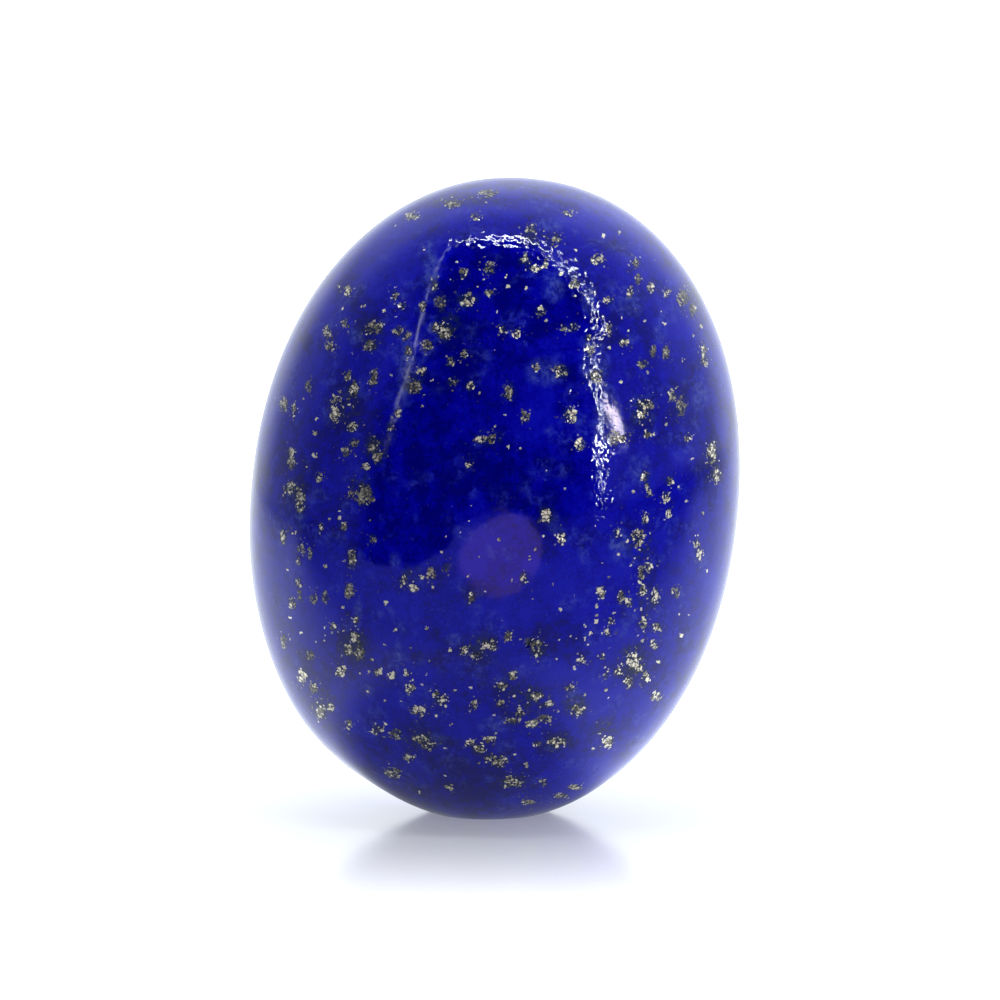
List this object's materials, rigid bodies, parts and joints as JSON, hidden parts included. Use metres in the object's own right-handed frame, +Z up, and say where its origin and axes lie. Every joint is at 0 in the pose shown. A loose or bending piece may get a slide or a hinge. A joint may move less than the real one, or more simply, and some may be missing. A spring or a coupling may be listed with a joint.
{
  "type": "lapis lazuli",
  "caption": "Polished lapis lazuli pebble: a leaning oval stone, domed front and back, that stands on a small flat spot ground on its lower end.",
  "frame": {"origin": "under the middle of the stone, on the surface that it stands on", "axes": "+Z up, along the stone's height; -Y towards the viewer of its front; +X to the right as seen from the front, the way the long axis leans"},
  "size_m": [0.0306, 0.023, 0.0399],
  "materials": {
    "polished_lapis": "polished"
  },
  "bodies": {
    "root": {"lapis_stone": "polished_lapis"}
  },
  "joints": []
}
